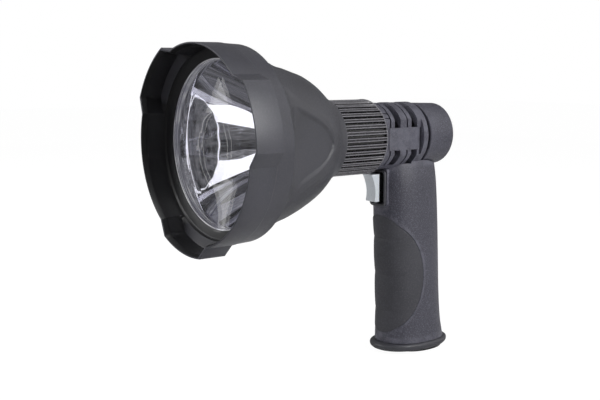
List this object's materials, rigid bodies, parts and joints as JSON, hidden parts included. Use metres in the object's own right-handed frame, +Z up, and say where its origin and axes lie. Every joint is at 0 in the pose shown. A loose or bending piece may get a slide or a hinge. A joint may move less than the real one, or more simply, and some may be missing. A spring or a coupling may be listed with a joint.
{
  "type": "handheld searchlight",
  "caption": "Pistol-grip searchlight: lobed round head with deep reflector, ribbed focus collar, slotted barrel, trigger, rear dimmer knob and flared base.",
  "frame": {"origin": "middle of the base on the flat underside of the rubber foot, straight below the middle of the grip", "axes": "+Z up from the foot, -Y along the beam out of the front rim, +X to the left of the person holding it"},
  "size_m": [0.1264, 0.2066, 0.21],
  "materials": {
    "casing": "charcoal moulded plastic with a fine matt texture",
    "rubber": "black rubber",
    "soft_grip": "dark grey soft-touch rubber",
    "glass": "clear glass",
    "mirror": "bright vacuum-metallised plastic",
    "alloy": "dark anodised aluminium",
    "steel": "plated steel",
    "trigger": "light grey satin plastic",
    "white_plastic": "white plastic",
    "black_plastic": "black plastic",
    "emitter": "yellow phosphor under a clear dome",
    "circuit": "green circuit board",
    "cell": "blue sleeved lithium cell"
  },
  "bodies": {
    "handle": {"base_cap": "casing", "bezel": "casing", "cell_1": "cell", "cell_2": "cell", "cell_link": "steel", "cell_spacer_1": "rubber", "cell_spacer_2": "rubber", "charge_board": "circuit", "charge_socket": "steel", "contact_spring_1": "steel", "contact_spring_2": "steel", "dimmer_body": "circuit", "dimmer_nut": "steel", "driver_board": "circuit", "driver_capacitor": "black_plastic", "driver_choke": "black_plastic", "foot_pad": "rubber", "grip_insert": "soft_grip", "handle_shell_left": "casing", "handle_shell_right": "casing", "head_housing": "casing", "head_screw_1": "steel", "head_screw_2": "steel", "head_screw_3": "steel", "head_seal": "rubber", "heat_sink": "alloy", "knob_seal": "rubber", "lens_gasket": "rubber", "lens_glass": "glass", "link_holder": "white_plastic", "reflector": "mirror", "shell_screw_1": "steel", "shell_screw_2": "steel", "shell_screw_3": "steel", "switch_body": "black_plastic", "trigger_frame": "casing", "trigger_pin": "steel", "trigger_spring": "steel"},
    "collar": {"focus_collar": "casing"},
    "carrier": {"led_carrier": "alloy", "cam_pin": "steel", "led_board": "white_plastic", "led_emitter": "emitter", "led_ring": "white_plastic"},
    "trigger": {"trigger": "trigger"},
    "plunger": {"switch_plunger": "white_plastic"},
    "dimmer": {"dimmer_shaft": "steel", "dimmer_knob": "casing"},
    "port_plug": {"port_plug": "rubber"}
  },
  "joints": [
    {"name": "focus_turn", "type": "hinge", "parent": "handle", "child": "collar", "pos_m": [0, -0.0625, 0.15], "axis": [0, 1, 0], "range_deg": [0, 100]},
    {"name": "carrier_slide", "type": "slide", "parent": "handle", "child": "carrier", "axis": [0, 1, 0], "range_m": [0, 0.005]},
    {"name": "trigger_pull", "type": "hinge", "parent": "handle", "child": "trigger", "pos_m": [0, -0.025, 0.1214], "axis": [1, 0, 0], "range_deg": [0, 8], "stiffness_Nm_per_rad": 0.25, "springref_deg": -3.44},
    {"name": "plunger_slide", "type": "slide", "parent": "handle", "child": "plunger", "axis": [0, 1, 0], "range_m": [0, 0.0018]},
    {"name": "dimmer_turn", "type": "hinge", "parent": "handle", "child": "dimmer", "pos_m": [0, 0.0075, 0.15], "axis": [0, 1, 0], "range_deg": [0, 270]},
    {"name": "plug_pull", "type": "slide", "parent": "handle", "child": "port_plug", "axis": [0, 0, -1], "range_m": [0, 0.009]}
  ],
  "couplings": [
    {"joint": "carrier_slide", "follows": "focus_turn", "m_per_rad": 0.0028647},
    {"joint": "plunger_slide", "follows": "trigger_pull", "m_per_rad": 0.0122}
  ]
}
